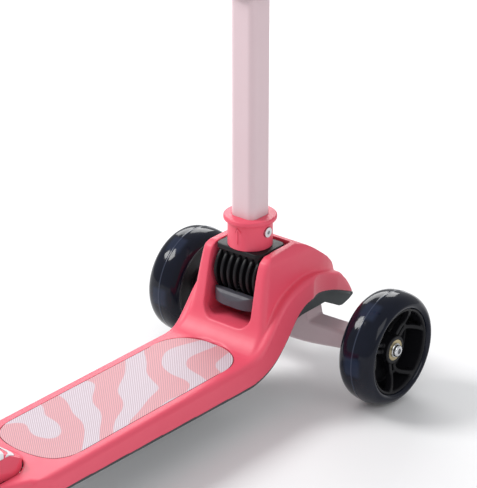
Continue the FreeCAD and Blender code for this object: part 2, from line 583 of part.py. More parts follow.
for k in range(3):
    centre = FreeCAD.Vector(0, 413 + CRESCENT_R + CRESCENT_PITCH * k, 60)
    ring = tube(centre, Z, CRESCENT_R, CRESCENT_R - CRESCENT_W, 40)
    ring = ring.common(box(-19.5, 19.5, 400, centre.y, 60, 100))
    cap = dome.translated(Z * INLAY).common(ring)
    crescents.append(cap.cut(dome.translated(Z * -INLAY)))
for piece in crescents:
    pedal = pedal.cut(piece)
save("brake_pedal", max(pedal.Solids, key=lambda s: s.Volume))
save("brake_grips", *[max(c.Solids, key=lambda s: s.Volume) for c in crescents])
pad = pad_seat.cut(rod(REAR - X * 30, X, GUARD_R - 1.2, 60))
save("brake_pad", pad)
save("brake_pin", rod(BRAKE_PIN - X * 32, X, 2.5, 64))
save("brake_spring", coil(BRAKE_PIN - X * 9.8, X, 3.5, 0.8, 18.0, 8))

# ---- fold drum at the foot of the stem --------------------------------------------
RIB_COUNT = 7
RIB_PITCH = 8.3
RIB_T = 3.4
drum = rod(FreeCAD.Vector(-DRUM_HALF_W, STEM_Y, FOLD_Z), X, DRUM_R - 3, 2 * DRUM_HALF_W)
for k in range(RIB_COUNT):
    x = (k - (RIB_COUNT - 1) / 2) * RIB_PITCH
    drum = drum.fuse(rod(FreeCAD.Vector(x - RIB_T / 2, STEM_Y, FOLD_Z), X, DRUM_R, RIB_T))
plate = box(-29, 29, 39, 83.5, 155.5, PLATE_TOP_Z)
upright = [e for e in plate.Edges if abs(e.tangentAt(e.FirstParameter).z) > 0.9]
plate = plate.makeFillet(7.0, upright)
neck = box(-27, 27, 42, 82, FOLD_Z, 156)
spigot_w = TUBE_W - 2 * TUBE_WALL - 0.2
spigot = rounded_square(spigot_w, 5.4, PLATE_TOP_Z - 1, 187)
drum = drum.fuse([plate, neck, spigot])
drum = drum.cut(rod(FreeCAD.Vector(-40, STEM_Y, FOLD_Z), X, 4.0 + FIT, 80))
BOLT_Z = 179.0
drum = drum.cut(rod(FreeCAD.Vector(-40, STEM_Y, BOLT_Z), X, 3.0, 80))

BUTTON_TOP_Z = 114.5
BUTTON_HALF_W = 26.5
GUIDE_Y = 77.0
SPRING_Y = 80.0
LOCK_PIN_Y = 72.8
for x in (-16, 16):
    drum = drum.cut(rod(FreeCAD.Vector(x, GUIDE_Y, 100), Z, 2.5 + FIT, 24))
drum = drum.cut(rod(FreeCAD.Vector(0, SPRING_Y, 100), Z, 4.6, 28))
save("fold_drum", drum.removeSplitter())

# ---- release button below the drum --------------------------------------------------
button = side_prism([[(70, 100), (93, 100)], [(93, 100), (93.6, 107), (91.5, 112.5)],
                     [(91.5, 112.5), (89, BUTTON_TOP_Z)], [(89, BUTTON_TOP_Z), (70, BUTTON_TOP_Z)],
                     [(70, BUTTON_TOP_Z), (70, 100)]], BUTTON_HALF_W)
bow = [[(0, 60), (BUTTON_HALF_W, 60)], [(BUTTON_HALF_W, 60), (BUTTON_HALF_W, 85.5)],
       [(BUTTON_HALF_W, 85.5), (23, 88.8), (14, 92.3), (0, 93.6)]]
button = button.common(plan_prism(mirrored(bow), 90, 120))
clear_r = DRUM_R + 0.8
button = button.cut(rod(FreeCAD.Vector(-40, STEM_Y, FOLD_Z), X, clear_r, 80))
button = max(button.Solids, key=lambda s: s.Volume)
for x in (-16, 16):
    button = button.fuse(rod(FreeCAD.Vector(x, GUIDE_Y, 101), Z, 2.5, 18))
button = button.cut(rod(FreeCAD.Vector(0, SPRING_Y, 102), Z, 4.6, 20))
button = button.cut(rod(FreeCAD.Vector(-30, LOCK_PIN_Y, 104), X, 2.5, 60))
save("release_button", button.removeSplitter())
save("lock_pin", rod(FreeCAD.Vector(-29.5, LOCK_PIN_Y, 104), X, 2.5, 59))

save("button_spring", coil(FreeCAD.Vector(0, SPRING_Y, 102.6), Z, 3.6, 0.5, 24.2, 7))

# ---- collar ---------------------------------------------------------------------------
collar = rod(FreeCAD.Vector(0, STEM_Y, PLATE_TOP_Z), Z, 23.0, 28)
flange = rod(FreeCAD.Vector(0, STEM_Y, 188.5), Z, 27.3, COLLAR_TOP_Z - 188.5)
flange = flange.makeFillet(1.8, [e for e in flange.Edges if e.Length > 100])
collar = collar.fuse(flange).cut(rounded_square(TUBE_W, 7.0, 150, 200))
collar = collar.cut(rod(FreeCAD.Vector(-30, STEM_Y, BOLT_Z), X, 3.0, 60))
for x0 in (-26, 20.5):
    collar = collar.cut(rod(FreeCAD.Vector(x0, STEM_Y, BOLT_Z), X, 5.6, 5.5))
save("collar", collar.removeSplitter())
bolt = rod(FreeCAD.Vector(-20.5, STEM_Y, BOLT_Z), X, 3.0, 44)
bolt_head = rod(FreeCAD.Vector(-23.9, STEM_Y, BOLT_Z), X, 5.2, 3.4)
bolt = bolt.fuse(bolt_head).cut(hexagon(FreeCAD.Vector(-24.5, STEM_Y, BOLT_Z), X, 4.0, 2.4))
save("collar_bolt", bolt.removeSplitter())
save("collar_nut", hexagon(FreeCAD.Vector(20.5, STEM_Y, BOLT_Z), X, 9.0, 3.2).cut(
    rod(FreeCAD.Vector(0, STEM_Y, BOLT_Z), X, 3.0, 30)))

# ---- lower tube and height clamp ----------------------------------------------------
LOWER_TUBE_TOP = 458.0
lower = rounded_square(TUBE_W, 7.0, PLATE_TOP_Z, LOWER_TUBE_TOP)
lower = lower.cut(rounded_square(TUBE_W - 2 * TUBE_WALL, 5.5, 150, 470))
lower = lower.cut(rod(FreeCAD.Vector(-30, STEM_Y, BOLT_Z), X, 3.0, 60))
save("lower_tube", lower)

CLAMP_TOP = 466.0
SKEWER_Y = STEM_Y - 30
SKEWER_Z = 446.0
clamp = rod(FreeCAD.Vector(0, STEM_Y, CLAMP_Z), Z, 22.5, CLAMP_TOP - CLAMP_Z)
clamp = clamp.makeFillet(2.0, [e for e in clamp.Edges if e.Length > 100])
ears_block = box(-13, 13, SKEWER_Y - 8, STEM_Y - 15, SKEWER_Z - 13, SKEWER_Z + 13)
clamp = clamp.fuse(ears_block)
clamp = clamp.cut(rounded_square(TUBE_W, 7.0, CLAMP_Z - 5, LOWER_TUBE_TOP))
clamp = clamp.cut(rounded_square(UPPER_TUBE_W + 0.8, 6.0, LOWER_TUBE_TOP - 1, 480))
clamp = clamp.cut(box(-1.5, 1.5, SKEWER_Y - 20, STEM_Y - 10, CLAMP_Z - 5, CLAMP_TOP + 5))
clamp = clamp.cut(rod(FreeCAD.Vector(-40, SKEWER_Y, SKEWER_Z), X, 3.0, 80))
save("height_clamp", clamp.removeSplitter())

clamp_bolt = rod(FreeCAD.Vector(-16.5, SKEWER_Y, SKEWER_Z), X, 3.0, 38)
clamp_bolt = clamp_bolt.fuse(rod(FreeCAD.Vector(-16.5, SKEWER_Y, SKEWER_Z), X, 5.5, 3.5))
CAM_PIN = FreeCAD.Vector(21.5, SKEWER_Y, SKEWER_Z)
clamp_bolt = clamp_bolt.fuse(rod(CAM_PIN - Z * 6, Z, 3.0, 12))
save("clamp_bolt", clamp_bolt.removeSplitter())
lever = rod(CAM_PIN - Z * 7.5, Z, 7.8, 15)
blade = plan_prism([[(24.5, SKEWER_Y - 7), (29.3, SKEWER_Y - 4)],
                    [(29.3, SKEWER_Y - 4), (33, STEM_Y - 10), (31, STEM_Y + 12), (26.5, STEM_Y + 30)],
                    [(26.5, STEM_Y + 30), (23.3, STEM_Y + 28)],
                    [(23.3, STEM_Y + 28), (27, STEM_Y + 8), (27.5, STEM_Y - 12), (24.5, SKEWER_Y - 7)]],
                   SKEWER_Z - 7.5, SKEWER_Z + 7.5)
lever = lever.fuse(blade)
lever = lever.cut(rod(CAM_PIN - Z * 10, Z, 3.0 + FIT, 20))
SWEEP = [(0, 3.4), (-14, 3.4), (-14, -14), (10.9, -12.3), (2.9, 1.7), (0, 3.4)]
sweep = [[(CAM_PIN.x + SWEEP[k][0], CAM_PIN.y + SWEEP[k][1]),
          (CAM_PIN.x + SWEEP[k + 1][0], CAM_PIN.y + SWEEP[k + 1][1])] for k in range(5)]
lever = lever.cut(plan_prism(sweep, SKEWER_Z - 3.4, SKEWER_Z + 3.4))
save("clamp_lever", max(lever.removeSplitter().Solids, key=lambda s: s.Volume))

# ---- upper tube, handlebar and grips ---------------------------------------------------
UPPER_TUBE_LOW = 262.0
upper = rounded_square(UPPER_TUBE_W, 5.6, UPPER_TUBE_LOW, BAR_Z - 14)
upper = upper.cut(rounded_square(UPPER_TUBE_W - 3, 4.2, UPPER_TUBE_LOW - 2, BAR_Z))
save("upper_tube", upper)
guide = rounded_square(UPPER_TUBE_W - 3, 4.2, UPPER_TUBE_LOW, UPPER_TUBE_LOW + 8)
save("tube_plug", guide)
BAR_R = 11.0
joint = rounded_square(36, 9.0, BAR_Z - 46, BAR_Z + 4)
joint = joint.fuse(rod(FreeCAD.Vector(-26, STEM_Y, BAR_Z), X, 16.5, 52))
joint = joint.cut(rounded_square(UPPER_TUBE_W, 5.6, BAR_Z - 60, BAR_Z - 14))
joint = joint.cut(rod(FreeCAD.Vector(-40, STEM_Y, BAR_Z), X, BAR_R, 80))
joint = joint.cut(rod(FreeCAD.Vector(0, STEM_Y + 8, BAR_Z), Y, 2.0, 20))
save("handlebar_joint", joint.removeSplitter())
bar = tube(FreeCAD.Vector(-BAR_HALF_W + 3, STEM_Y, BAR_Z), X, BAR_R, BAR_R - 1.6,
           2 * BAR_HALF_W - 6)
bar = bar.cut(rod(FreeCAD.Vector(0, STEM_Y + 8, BAR_Z), Y, 2.0, 20))
save("handlebar", bar)
save("handlebar_screw", rod(FreeCAD.Vector(0, STEM_Y + 8, BAR_Z), Y, 2.0, 11).fuse(
    rod(FreeCAD.Vector(0, STEM_Y + 18, BAR_Z), Y, 3.8, 2.4)))
GRIP_IN = 34.0
for side, name in ((1, "left"), (-1, "right")):
    inner_end = FreeCAD.Vector(side * GRIP_IN, STEM_Y, BAR_Z)
    length = BAR_HALF_W - GRIP_IN
    grip = rod(inner_end, X * side, 15.0, length)
    grip = grip.fuse(rod(inner_end, X * side, 20.0, 4))
    grip = grip.fuse(rod(inner_end + X * (side * (length - 7)), X * side, 18.0, 7))
    grip = grip.cut(rod(inner_end, X * side, BAR_R, length - 3))
    save("grip_" + name, grip.removeSplitter())
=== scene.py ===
import math

import bmesh
import bpy
from mathutils import Matrix, Vector


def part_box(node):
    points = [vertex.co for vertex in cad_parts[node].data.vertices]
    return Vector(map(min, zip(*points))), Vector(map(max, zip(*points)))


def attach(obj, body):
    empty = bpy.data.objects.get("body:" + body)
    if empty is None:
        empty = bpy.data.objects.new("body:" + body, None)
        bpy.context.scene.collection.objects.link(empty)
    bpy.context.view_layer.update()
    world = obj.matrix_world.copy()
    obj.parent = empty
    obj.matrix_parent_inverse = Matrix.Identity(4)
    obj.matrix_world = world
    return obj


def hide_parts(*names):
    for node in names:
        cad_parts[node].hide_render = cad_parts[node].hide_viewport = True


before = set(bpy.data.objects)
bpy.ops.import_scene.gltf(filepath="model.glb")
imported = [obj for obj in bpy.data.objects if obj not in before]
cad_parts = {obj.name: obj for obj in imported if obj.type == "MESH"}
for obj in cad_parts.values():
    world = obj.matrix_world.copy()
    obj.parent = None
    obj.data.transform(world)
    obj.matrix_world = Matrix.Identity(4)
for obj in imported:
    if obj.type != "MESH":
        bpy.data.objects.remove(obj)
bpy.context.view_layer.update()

# Everything below is in millimetres from the ground under the front axle, which is how a
# scooter is measured up: -Y forward, +X the rider's left.  place() turns that into metres.

# ---- studio: a pale floor, three soft lamps and a pale sky ----------------------------------
# The floor is matt painted board, a little uneven in tone, as a studio sweep is.
scene = bpy.context.scene
scene.view_settings.view_transform = "Standard"

axle_low, axle_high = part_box("front_left_axle_bolt")
FRONT_AXLE_Y = (axle_low.y + axle_high.y) / 2


class Level:
    """A value that changes over a surface; the usual operators add Math nodes to it."""

    def __init__(self, finish, socket):
        self.finish = finish
        self.socket = socket

    def maths(self, operation, *values):
        return self.finish.node("ShaderNodeMath", {"operation": operation}, values)

    def __add__(self, other):
        return self.maths("ADD", self, other)

    __radd__ = __add__

    def __sub__(self, other):
        return self.maths("SUBTRACT", self, other)

    def __rsub__(self, other):
        return self.maths("SUBTRACT", other, self)

    def __mul__(self, other):
        return self.maths("MULTIPLY", self, other)

    __rmul__ = __mul__

    def above(self, edge, softness):
        """0 below an edge, 1 above it, with a soft step between."""
        return self.finish.node("ShaderNodeMapRange", {"interpolation_type": "SMOOTHSTEP"},
                                [self, edge - softness, edge + softness])

    def size(self):
        return self.maths("ABSOLUTE", self)


class Finish:
    """A material: its Principled shader, and a place to hang nodes on."""

    def __init__(self, name, **settings):
        self.material = bpy.data.materials.new(name)
        self.material.use_nodes = True
        self.tree = self.material.node_tree
        self.shader = self.tree.nodes["Principled BSDF"]
        for socket, value in settings.items():
            self.shader.inputs[socket.replace("_", " ")].default_value = value
        self.place = self.node("ShaderNodeTexCoord", output="Object")

    def node(self, kind, settings=None, values=(), output=0):
        """Adds any node: its settings first, then the values or links of its sockets."""
        new = self.tree.nodes.new(kind)
        for name, value in (settings or {}).items():
            setattr(new, name, value)
        pairs = values.items() if isinstance(values, dict) else enumerate(values)
        for name, value in pairs:
            if isinstance(value, Level):
                self.tree.links.new(value.socket, new.inputs[name])
            else:
                new.inputs[name].default_value = value
        return Level(self, new.outputs[output])

    def mix(self, factor, low, high):
        """A colour between two others."""
        return self.node("ShaderNodeMix", {"data_type": "RGBA"}, {0: factor, 6: low, 7: high}, 2)

    def noise(self, scale, detail=3.0, warp=0.0, where=None):
        return self.node("ShaderNodeTexNoise", values={
            "Vector": where or self.place, "Scale": scale, "Detail": detail, "Distortion": warp})

    def axes(self, where=None):
        """The three coordinates, in metres."""
        split = self.tree.nodes.new("ShaderNodeSeparateXYZ")
        self.tree.links.new((where or self.place).socket, split.inputs[0])
        return [Level(self, out) for out in split.outputs]

    def feed(self, socket, value):
        self.tree.links.new(value.socket, self.shader.inputs[socket])

    def relief(self, height, depth, strength=1.0):
        """Raises the surface by a level, depth in metres."""
        self.feed("Normal", self.node("ShaderNodeBump", values={
            "Strength": strength, "Distance": depth, "Height": height}))


def tone(red, green, blue):
    """An 8-bit display colour as the shader's own."""
    shares = [value / 255 for value in (red, green, blue)]
    return [s / 12.92 if s <= 0.04045 else ((s + 0.055) / 1.055) ** 2.4 for s in shares] + [1.0]


paper = Finish("studio_board", Roughness=0.85)
paper.feed("Base Color", paper.mix(paper.noise(1.5), tone(243, 243, 244), tone(250, 250, 250)))
paper.relief(paper.noise(900.0), 0.00002)
bm = bmesh.new()
bmesh.ops.create_grid(bm, x_segments=8, y_segments=8, size=6.0)
board_mesh = bpy.data.meshes.new("studio_floor")
bm.to_mesh(board_mesh)
bm.free()
board = bpy.data.objects.new("studio_floor", board_mesh)
board_mesh.materials.append(paper.material)
scene.collection.objects.link(board)

sky = bpy.data.worlds.new("studio_sky")
sky.use_nodes = True
sky.node_tree.nodes["Background"].inputs["Color"].default_value = (0.97, 0.98, 1.0, 1.0)
sky.node_tree.nodes["Background"].inputs["Strength"].default_value = 0.52
scene.world = sky


def lamp(name, spot, aim, size, watts):
    data = bpy.data.lights.new(name, "AREA")
    data.shape = "RECTANGLE"
    data.size, data.size_y = size
    data.energy = watts
    light = bpy.data.objects.new(name, data)
    light.location = spot
    light.rotation_euler = (Vector(aim) - Vector(spot)).to_track_quat("-Z", "Y").to_euler()
    scene.collection.objects.link(light)


lamp("key_lamp", (1.6, 0.8, 1.9), (0.0, -0.05, 0.1), (0.9, 0.9), 43.0)
lamp("sheen_lamp", (1.15, -1.45, 1.0), (0.0, 0.0, 0.1), (1.4, 0.8), 17.0)
lamp("side_lamp", (-1.7, 0.1, 1.1), (0.0, 0.0, 0.1), (1.0, 1.0), 7.0)

camera_data = bpy.data.cameras.new("camera")
camera_data.lens = 147.63
camera = bpy.data.objects.new("camera", camera_data)
camera.location = (-1.1669, 1.2895, 0.9889)
camera.rotation_euler = Vector((0.5797, -0.7049, -0.4088)).to_track_quat("-Z", "Y").to_euler()
scene.collection.objects.link(camera)
scene.camera = camera

# ---- deck shell: one injection moulding that is deck, arch and front tower ------------------
# Glass-filled nylon in pink, 3 mm thick, with a fine satin grain from the mould.  Its shoulders
# are well rounded, the tower's walls lean in, and every rim has the small radius of a moulding.


def place(bm):
    """Millimetres from the ground under the front axle, made metres in the scooter's frame."""
    bmesh.ops.transform(bm, verts=bm.verts, matrix=Matrix.Translation((0, FRONT_AXLE_Y, 0))
                        @ Matrix.Diagonal((0.001, 0.001, 0.001, 1)))


def piece_from(name, bm):
    bmesh.ops.recalc_face_normals(bm, faces=bm.faces)
    mesh = bpy.data.meshes.new(name)
    bm.to_mesh(mesh)
    bm.free()
    piece = bpy.data.objects.new(name, mesh)
    scene.collection.objects.link(piece)
    return piece


def apply_step(piece, kind, **settings):
    """Applies one modifier to a piece's own mesh."""
    step = piece.modifiers.new(kind, kind)
    for name, value in settings.items():
        setattr(step, name, value)
    bpy.context.view_layer.update()
    graph = bpy.context.evaluated_depsgraph_get()
    mesh = bpy.data.meshes.new_from_object(piece.evaluated_get(graph))
    piece.modifiers.clear()
    piece.data = mesh


def cad_copy(name, node):
    """A node's shape as one joined mesh, to be worked on as a new piece."""
    bm = bmesh.new()
    bm.from_mesh(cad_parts[node].data)
    bmesh.ops.remove_doubles(bm, verts=bm.verts, dist=0.000002)
    mesh = bpy.data.meshes.new(name)
    bm.to_mesh(mesh)
    bm.free()
    mesh.materials.clear()
    piece = bpy.data.objects.new(name, mesh)
    scene.collection.objects.link(piece)
    return piece


def round_edges(piece, grain, passes, share=1.0):
    """Rounds every edge by a few grains, as mould and die radii do; grain is in mm."""
    apply_step(piece, "REMESH", mode="VOXEL", voxel_size=grain / 1000)
    apply_step(piece, "SMOOTH", factor=0.5, iterations=passes)
    if share < 1.0:
        apply_step(piece, "DECIMATE", decimate_type="COLLAPSE", ratio=share)


def fit(piece, body, finish, nodes, crisp=35):
    """Puts a finished piece on its body in place of its CAD nodes."""
    piece.data.materials.clear()
    piece.data.materials.append(finish.material)
    piece.data.shade_smooth()
    piece.data.set_sharp_from_angle(angle=math.radians(crisp))
    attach(piece, body)
    if nodes:
        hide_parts(*nodes)


def paint(finish, *nodes):
    """Gives CAD nodes that are shown as they are a worked finish."""
    for node in nodes:
        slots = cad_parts[node].material_slots
        for entry in slots:
            entry.material = finish.material


def smooth_line(points, steps=5):
    """Points along a smooth curve through the given ones."""
    line = []
    last = len(points) - 1
    for k in range(last):
        four = points[max(k - 1, 0)], points[k], points[k + 1], points[min(k + 2, last)]
        for s in range(steps):
            t = s / steps
            line.append(tuple(0.5 * (2 * b + (c - a) * t + (2 * a - 5 * b + 4 * c - d) * t * t
                                     + (3 * b - a - 3 * c + d) * t ** 3)
                              for a, b, c, d in zip(*four)))
    return line + [points[-1]]


def level_at(line, along):
    """Second value of a line of points where its first value is the given one."""
    for (a0, b0), (a1, b1) in zip(line, line[1:]):
        if a0 != a1 and min(a0, a1) <= along <= max(a0, a1):
            return b0 + (b1 - b0) * (along - a0) / (a1 - a0)
    return min((line[0], line[-1]), key=lambda end: abs(end[0] - along))[1]


def loft(bm, rings):
    """Closed solid through rings with the same number of points."""
    loops = []
    for ring in rings:
        verts = [bm.verts.new(spot) for spot in ring]
        loops.append([bm.edges.new((a, b)) for a, b in zip(verts, verts[1:] + verts[:1])])
    for near, far in zip(loops, loops[1:]):
        bmesh.ops.bridge_loops(bm, edges=near + far)
    for end in (loops[0], loops[-1]):
        bmesh.ops.contextual_create(bm, geom=end)


def corner(x, z, turn_x, turn_z, radius, steps=7):
    """Quarter round from the upright side to the flat one, for a corner at x, z."""
    return [(x - turn_x * radius * (1 - math.cos(math.pi / 2 * k / steps)),
             z - turn_z * radius * (1 - math.sin(math.pi / 2 * k / steps)))
            for k in range(steps + 1)]


LEDGE = smooth_line([(132, 69), (122, 70.5), (111, 76), (99, 88), (86, 103), (73, 114.5),
                     (55, 122.5), (33, 126.5), (12, 124.5), (-14, 116), (-38, 105), (-54, 94),
                     (-64, 81)])
RIDGE = smooth_line([(138, 67), (123, 70), (110, 79), (102.5, 90), (98.5, 104), (95, 121),
                     (91.5, 138), (88.5, 149), (84.5, 156.5), (77, 160.5)])
DECK_PLAN = smooth_line([(-70, 20), (-66, 26), (-60, 41), (-48, 50), (-15, 54), (30, 58), (60, 58),
                         (395, 58), (418, 55), (436, 47), (452, 40), (470, 40)])
NOSE_LINE = [(-70, 69), (-64, 75.5), (-58, 81.5), (-50, 89.5), (-43, 97), (-38, 102), (-30, 108.5)]
HOOD_FRONT = [(45, -41), (96, -42), (98, -43.5), (110, -34.5), (121.5, -24.5), (132.5, -12.5),
              (147, 6.5), (158, 23.5), (162, 35), (180, 36)]
TOWER_NOSE = smooth_line([(-49, 11), (-41.5, 28.8), (-23.5, 40.8), (10, 47.3), (60, 60)])
TOWER_WALL = [(50, 53.5), (72, 52), (88, 49.3), (104, 47.2), (125, 45.6), (148, 43.9), (175, 43.9)]

bm = bmesh.new()
stations = list(range(-68, 140, 3)) + list(range(150, 390, 40)) + list(range(392, 472, 4))
rings = []
for y in stations:
    half = level_at(DECK_PLAN, y) + 0.05
    top = level_at(LEDGE, y) + 0.02
    if y < -30:
        top = min(top, level_at(NOSE_LINE, y))
    radius = 5.5 + 1.6 * min(max((y - 80) / 40, 0), 1) + 0.32 * max(-20 - y, 0)
    arc = corner(half, top, 1, 1, radius)
    side = [(half, 8.0)] + arc
    ring = [(-x, z) for x, z in side] + [(x, z) for x, z in reversed(side)]
    rings.append([(x, y, z) for x, z in ring])
loft(bm, rings)
place(bm)
envelope = piece_from("deck_envelope", bm)

bm = bmesh.new()
rear_by_height = [(z, y) for y, z in RIDGE]
rings = []
for z in (45, 66, 68, 70, 73, 76, 79, 83, 87, 92, 97, 104, 112, 121, 130, 138, 146, 152, 156, 159,
          161, 166, 175):
    half = level_at(TOWER_WALL, z)
    rear = level_at(rear_by_height, z)
    front = level_at(HOOD_FRONT, z)
    ahead = [front + max(12 - front, 4) * k / 5 for k in range(6)]
    ring = [(min(half, level_at(TOWER_NOSE, y)), y) for y in ahead] + corner(half, rear, 1, 1, 7.0)
    ring = ring + [(-x, y) for x, y in reversed(ring)]
    rings.append([(x, y, z) for x, y in ring])
loft(bm, rings)
place(bm)
tower_envelope = piece_from("tower_envelope", bm)

MAT_EDGE = smooth_line([(0, 121), (20, 123), (36, 133), (44.2, 148), (45.3, 168)])
MAT_EDGE += smooth_line([(45.3, 362), (43, 375), (35, 387), (20, 394), (0, 396.5)])


def mat_prism(name, spread, low, high):
    """Upright block with the foot mat's outline, grown by a spread."""
    half = [(x + spread * (x > 0), y + spread * (1 if y > 250 else -1)) for x, y in MAT_EDGE]
    ring = half + [(-x, y) for x, y in reversed(half[1:-1])]
    bm = bmesh.new()
    loft(bm, [[(x, y, z) for x, y in ring] for z in (low, high)])
    place(bm)
    return piece_from(name, bm)


# The nose is given the thickness that its slope is cut from, and a strip closes the gap
# between the slot's floor and the rear wall.
bm = bmesh.new()
nose_side = NOSE_LINE[1:-1] + [(-38, 91), (-43, 87.5), (-50, 81.5), (-58, 77), (-63, 72.5)]
loft(bm, [[(x, y, z) for y, z in nose_side] for x in (-52, 52)])
loft(bm, [[(x, y, z) for y, z in ((96, 83.2), (96, 86), (104, 86), (104, 83.2))] for x in (-32, 32)])
place(bm)
nose_wall = piece_from("nose_wall", bm)

shell = cad_copy("shell_moulding", "deck_shell")
recess_fill = mat_prism("recess_fill", 1.2, 66.6, 69.0)
recess = mat_prism("recess_cut", 0.8, 67.45, 75.0)
apply_step(envelope, "BOOLEAN", operation="UNION", object=tower_envelope, solver="EXACT")
apply_step(shell, "BOOLEAN", operation="UNION", object=nose_wall, solver="EXACT")
apply_step(shell, "BOOLEAN", operation="INTERSECT", object=envelope, solver="EXACT")
apply_step(shell, "BOOLEAN", operation="UNION", object=recess_fill, solver="EXACT")
round_edges(shell, 1.2, 3, 0.6)
apply_step(shell, "BOOLEAN", operation="DIFFERENCE", object=recess, solver="EXACT")
for helper in (envelope, tower_envelope, nose_wall, recess_fill, recess):
    bpy.data.objects.remove(helper)

pink = Finish("pink_moulding", Roughness=0.4, Specular_IOR_Level=0.5)
pink.feed("Base Color", pink.mix(pink.noise(14.0, 4.0), tone(232, 80, 104), tone(238, 89, 112)))
pink.feed("Roughness", 0.4 + 0.1 * pink.noise(60.0))
pink.relief(pink.noise(2600.0, 2.0), 0.00003, 0.5)
fit(shell, "deck", pink, ["deck_shell"])

# ---- foot mat: a printed sheet of hard plastic glued into its recess ------------------------
# Pale lilac white with soft pink strokes, under a fine raised hatch that gives the shoe grip. Its
# grooves and the mat's edge carry painted shade.
mat = Finish("printed_foot_mat", Roughness=0.6)
x_mat, y_mat, z_mat = mat.axes()
print_mask = mat.node("ShaderNodeTexWave", {"bands_direction": "DIAGONAL"}, {
    "Vector": mat.place, "Scale": 5.5, "Distortion": 11.0, "Detail": 0.6,
    "Detail Scale": 1.9}, 1).above(0.5, 0.04)
across = x_mat * 0.772 + y_mat * 0.635
hatch = mat.node("ShaderNodeMath", {"operation": "SINE"}, [across * 3490.0])
lines = hatch.above(0.0, 0.8)
printed = mat.mix(print_mask, tone(224, 212, 220), tone(232, 170, 175))
# Painted shade: the low half of each hatch line is darkened towards dark mauve, as the ridges shade
# the grooves.
groove_shaded = mat.mix(0.55 - 0.55 * lines, printed, tone(150, 118, 130))
# Painted shade: below its top face, the mat's edge in the gap of its recess is dark mauve.
mat.feed("Base Color", mat.mix(z_mat.above(0.0686, 0.0002), tone(92, 58, 66), groove_shaded))
mat.relief(hatch, 0.00015, 0.4)
paint(mat, "deck_mat")

# ---- underside cover and its screws ---------------------------------------------------------
# Dark grey polypropylene, screwed up under the deck with six pan-head screws.
cover = Finish("cover_plastic", Roughness=0.6)
cover.feed("Base Color", cover.mix(cover.noise(30.0), tone(52, 60, 63), tone(64, 73, 76)))
cover.feed("Roughness", 0.5 + 0.2 * cover.noise(80.0))
cover.relief(cover.noise(1800.0), 0.00005, 0.6)
paint(cover, "underside_cover")


def metal(name, light, dark, rough, coat=0.0):
    """Plated or bright steel: faint tarnish, fine scratches, uneven polish."""
    steel = Finish(name, Metallic=1.0, Roughness=rough, Coat_Weight=coat)
    steel.feed("Base Color", steel.mix(steel.noise(120.0, 4.0), tone(*light), tone(*dark)))
    steel.feed("Roughness", (rough - 0.08) + 0.16 * steel.noise(400.0))
    steel.relief(steel.noise(3000.0), 0.00002, 0.3)
    return steel


zinc = metal("zinc_plate", (205, 207, 208), (170, 173, 176), 0.32)
bright = metal("bright_steel", (222, 223, 224), (190, 192, 195), 0.2)
blackened = metal("blackened_steel", (70, 71, 74), (48, 49, 52), 0.45)
paint(blackened, "cover_screws", "chassis_screws", "kingpin_nut", "fold_axle_nut",
      "button_spring")
paint(zinc, "fold_axle", "kingpin", "rear_axle", "rear_axle_nut", "brake_pin", "brake_spring",
      "lock_pin", "rear_spacers", "front_left_spacers", "front_right_spacers",
      "collar_nut", "clamp_bolt", "handlebar_screw")

# ---- fold chassis and truck beam ------------------------------------------------------------
# Pressed steel cheeks inside the tower carry the stem and the kingpin; the truck is a cast
# beam with a powder coat in the stem's pale pink.
stem_paint = Finish("stem_powder_coat", Roughness=0.42, Specular_IOR_Level=0.45)
stem_paint.feed("Base Color", stem_paint.mix(stem_paint.noise(20.0), tone(221, 197, 202),
                                             tone(226, 203, 208)))
stem_paint.feed("Roughness", 0.38 + 0.12 * stem_paint.noise(90.0))
stem_paint.relief(stem_paint.noise(1700.0, 2.0), 0.00004, 0.5)
paint(blackened, "fold_chassis")
beam = cad_copy("truck_casting", "truck_beam")
round_edges(beam, 0.9, 4)
fit(beam, "truck", stem_paint, ["truck_beam"])

rubber = Finish("bushing_urethane", Roughness=0.5)
rubber.feed("Base Color", rubber.mix(rubber.noise(60.0), tone(40, 40, 44), tone(58, 58, 62)))
rubber.relief(rubber.noise(1500.0), 0.00004, 0.5)
paint(rubber, "lower_bushing", "upper_bushing")

# ---- front wheels: clear navy tyres on black three-armed hubs -------------------------------
# The tyre is cast polyurethane, smoky and see-through, with small lamps inside it and a parting
# line round the tread.  The hub is black nylon: each arm is a slotted stem that forks to the rim.
HUB_R = 46.0


def spun(bm, profile, steps, centre, closed=True):
    """Turns a profile of (along the axle, radius) points once round an axle."""
    verts = [bm.verts.new((centre[0] + u, centre[1], centre[2] + r)) for u, r in profile]
    pairs = list(zip(verts, verts[1:]))
    if closed:
        pairs.append((verts[-1], verts[0]))
    edges = [bm.edges.new(pair) for pair in pairs]
    bmesh.ops.spin(bm, geom=verts + edges, cent=centre, axis=(1, 0, 0), angle=2 * math.pi,
                   steps=steps, use_merge=True)


def tyre_profile(radius, half, seat):
    """Cross-section of a round-shouldered tyre with its parting line."""
    shoulder = smooth_line([(0.8, radius - 0.25), (half * 0.35, radius - 0.7),
                            (half * 0.65, radius - 2.4), (half * 0.88, radius - 5.6),
                            (half, radius - 9.6), (half * 0.97, seat + 1.6),
                            (half * 0.9, seat)], 4)
    outer = [(0.0, radius)] + shoulder
    return outer + [(-u, r) for u, r in reversed(outer[1:])]


def mirrored_piece(name, source):
    """The same moulding on the other side of the scooter."""
    bm = bmesh.new()
    bm.from_mesh(source.data)
    bmesh.ops.scale(bm, verts=bm.verts, vec=(-1, 1, 1))
    return piece_from(name, bm)


